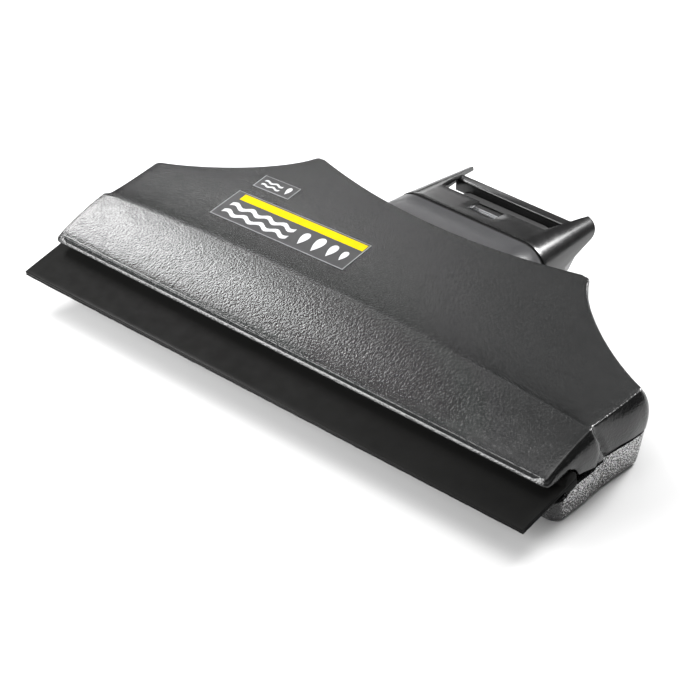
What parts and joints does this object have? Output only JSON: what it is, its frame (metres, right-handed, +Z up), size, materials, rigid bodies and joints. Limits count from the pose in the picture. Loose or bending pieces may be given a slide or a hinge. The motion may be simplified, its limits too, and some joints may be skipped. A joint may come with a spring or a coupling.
{
  "type": "window vacuum suction head",
  "caption": "Wide suction head with a double rubber squeegee lip, a two-part plastic shell, a neck sleeve and an open latching collar.",
  "frame": {"origin": "on the floor, under the middle of the head's bounding box", "axes": "+X along the rubber lips, +Y from the lip tips back to the connector, +Z up, away from the surface that the head rests on"},
  "size_m": [0.28, 0.1864, 0.0435],
  "materials": {
    "cover_plastic": "fine pebbled satin",
    "shell_plastic": "coarse spark-eroded",
    "collar_plastic": "semi-gloss",
    "duct_plastic": "matt",
    "lip_rubber": "smooth matt",
    "seal_rubber": "matt",
    "keeper_steel": "brushed",
    "screw_steel": "zinc plated",
    "label_film": "silver film with a yellow stripe"
  },
  "bodies": {
    "head": {"upper_cover": "cover_plastic", "lower_shell": "shell_plastic", "seam_gasket": "seal_rubber", "upper_lip_rail": "duct_plastic", "lower_lip_rail": "duct_plastic", "air_channel_plate": "duct_plastic", "neck_sleeve": "cover_plastic", "neck_seal_ring": "seal_rubber", "suction_spigot": "duct_plastic", "flange_gasket": "seal_rubber", "spigot_seal": "seal_rubber", "connector_collar": "collar_plastic", "latch_keeper": "keeper_steel", "shell_screws": "screw_steel", "collar_screws": "screw_steel", "main_label": "label_film", "small_label": "label_film"},
    "upper_lip": {"upper_wiper_lip": "lip_rubber"},
    "lower_lip": {"lower_wiper_lip": "lip_rubber"}
  },
  "joints": [
    {"name": "upper_lip_pull", "type": "slide", "parent": "head", "child": "upper_lip", "axis": [1, 0, 0], "range_m": [0, 0.285]},
    {"name": "lower_lip_pull", "type": "slide", "parent": "head", "child": "lower_lip", "axis": [1, 0, 0], "range_m": [0, 0.285]}
  ]
}
